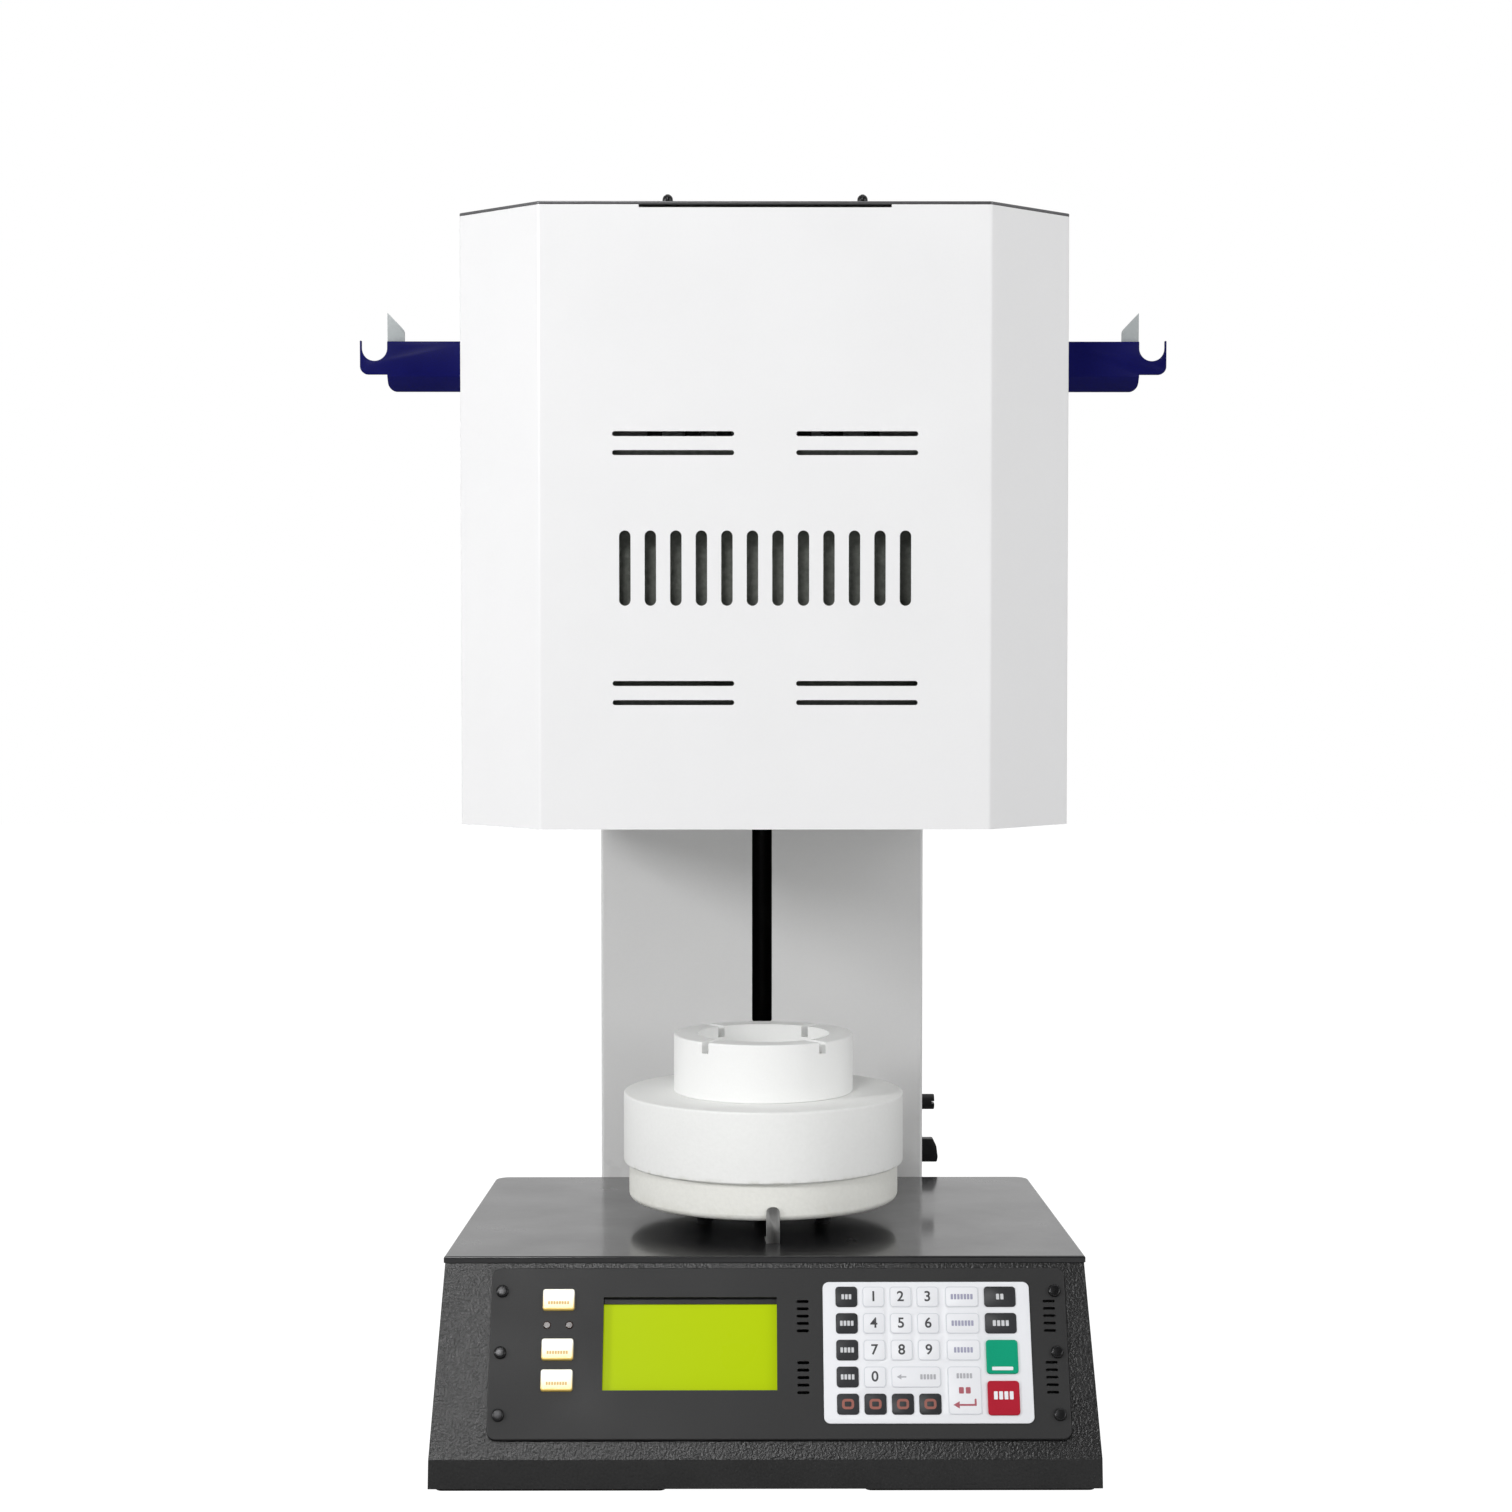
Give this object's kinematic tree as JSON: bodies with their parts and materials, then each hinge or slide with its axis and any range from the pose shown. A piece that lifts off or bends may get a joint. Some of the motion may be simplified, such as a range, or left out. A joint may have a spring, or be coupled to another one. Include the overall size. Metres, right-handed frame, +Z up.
{
  "type": "dental sintering furnace",
  "caption": "Bench-top sintering furnace: a muffle head rides a slotted column down over a ceramic pedestal and crucible; sloped base with display, keypad and buttons; tool hooks at the sides.",
  "frame": {"origin": "bench level, in the middle of the furnace's outline in plan", "axes": "+Z up, -Y out of the front with the control panel, +X to the right as seen from the front"},
  "size_m": [0.5336, 0.4514, 0.7895],
  "materials": {
    "head_white": "satin enamel",
    "column_grey": "satin enamel",
    "base_black": "fine textured powder coat",
    "lid_black": "gloss enamel",
    "panel_grey": "matt anodised plate",
    "hook_blue": "satin powder coat",
    "fin_grey": "satin",
    "plain_steel": "brushed",
    "jacket_steel": "dull sheet",
    "alloy": "machined",
    "ceramic_fibre": "chalky",
    "crucible_white": "fine matt",
    "element_grey": "glazed grey",
    "bearing_bronze": "machined",
    "black_plastic": "moulded",
    "rubber_foot": "matt",
    "lcd_green": "lit film",
    "button_white": "translucent",
    "led_clear": "moulded",
    "keypad_white": "film",
    "key_dark": "film",
    "key_green": "film",
    "key_red": "film",
    "board_green": "solder mask"
  },
  "bodies": {
    "base": {"base_feet": "rubber_foot", "base_lid": "lid_black", "base_shell": "base_black", "chassis_plate": "plain_steel", "column_cap": "column_grey", "column_rear_cover": "column_grey", "column_shell": "column_grey", "control_board": "board_green", "cover_screws": "black_plastic", "fan_frame": "black_plastic", "fuse_holder": "black_plastic", "guide_rods": "plain_steel", "keypad_dark_keys": "key_dark", "keypad_green_key": "key_green", "keypad_membrane": "keypad_white", "keypad_red_key": "key_red", "lcd_module": "black_plastic", "lcd_window": "lcd_green", "lift_motor": "black_plastic", "limit_sensors": "black_plastic", "mains_inlet": "black_plastic", "panel_leds": "led_clear", "panel_plate": "panel_grey", "pedestal_clips": "plain_steel", "pedestal_lower_disc": "ceramic_fibre", "pedestal_stand": "base_black", "pedestal_upper_disc": "ceramic_fibre", "power_controller": "alloy", "power_switch_housing": "black_plastic", "power_transformer": "element_grey", "push_button_housings": "black_plastic", "rod_plates": "alloy"},
    "head": {"head_casing": "head_white", "head_rear_panel": "head_white", "head_top_plate": "plain_steel", "head_bottom_plate": "plain_steel", "head_screws": "black_plastic", "inner_jacket": "jacket_steel", "insulation_lower_ring": "ceramic_fibre", "insulation_chamber_rings": "ceramic_fibre", "insulation_roof": "ceramic_fibre", "heating_elements": "element_grey", "element_holders": "ceramic_fibre", "element_straps": "alloy", "thermocouple": "black_plastic", "tool_hooks": "hook_blue", "hook_fins": "fin_grey", "carriage_block": "alloy", "carriage_bushings": "bearing_bronze", "lead_screw_nut": "bearing_bronze", "carriage_arm": "alloy"},
    "lift_screw": {"lead_screw": "plain_steel"},
    "crucible": {"crucible": "crucible_white"},
    "button_top": {"push_button_top": "button_white"},
    "button_middle": {"push_button_middle": "button_white"},
    "button_bottom": {"push_button_bottom": "button_white"},
    "switch_rocker": {"power_switch_rocker": "black_plastic"},
    "fuse_cap": {"fuse_cap": "black_plastic"},
    "fan_rotor": {"fan_rotor": "black_plastic"}
  },
  "joints": [
    {"name": "head_lift", "type": "slide", "parent": "base", "child": "head", "axis": [0, 0, 1], "range_m": [-0.2255, 0]},
    {"name": "screw_spin", "type": "hinge", "parent": "base", "child": "lift_screw", "pos_m": [0, 0.16225, 0.4], "axis": [0, 0, 1], "continuous": true},
    {"name": "crucible_lift", "type": "slide", "parent": "base", "child": "crucible", "axis": [0, 0, 1], "range_m": [0, 0.1]},
    {"name": "button_top_press", "type": "slide", "parent": "base", "child": "button_top", "axis": [0, 0.8749, -0.4843], "range_m": [0, 0.002], "stiffness_N_per_m": 600, "springref_m": -0.002},
    {"name": "button_middle_press", "type": "slide", "parent": "base", "child": "button_middle", "axis": [0, 0.8749, -0.4843], "range_m": [0, 0.002], "stiffness_N_per_m": 600, "springref_m": -0.002},
    {"name": "button_bottom_press", "type": "slide", "parent": "base", "child": "button_bottom", "axis": [0, 0.8749, -0.4843], "range_m": [0, 0.002], "stiffness_N_per_m": 600, "springref_m": -0.002},
    {"name": "switch_rock", "type": "hinge", "parent": "base", "child": "switch_rocker", "pos_m": [0.116, 0.15225, 0.1431], "axis": [0, 1, 0], "range_deg": [0, 24]},
    {"name": "fuse_cap_turn", "type": "hinge", "parent": "base", "child": "fuse_cap", "pos_m": [0.12, 0.15225, 0.1784], "axis": [1, 0, 0], "range_deg": [0, 90]},
    {"name": "fan_spin", "type": "hinge", "parent": "base", "child": "fan_rotor", "pos_m": [0.148, 0.09, 0.062], "axis": [0, 1, 0], "continuous": true}
  ],
  "couplings": [
    {"joint": "screw_spin", "follows": "head_lift", "rad_per_m": -1570.8}
  ]
}
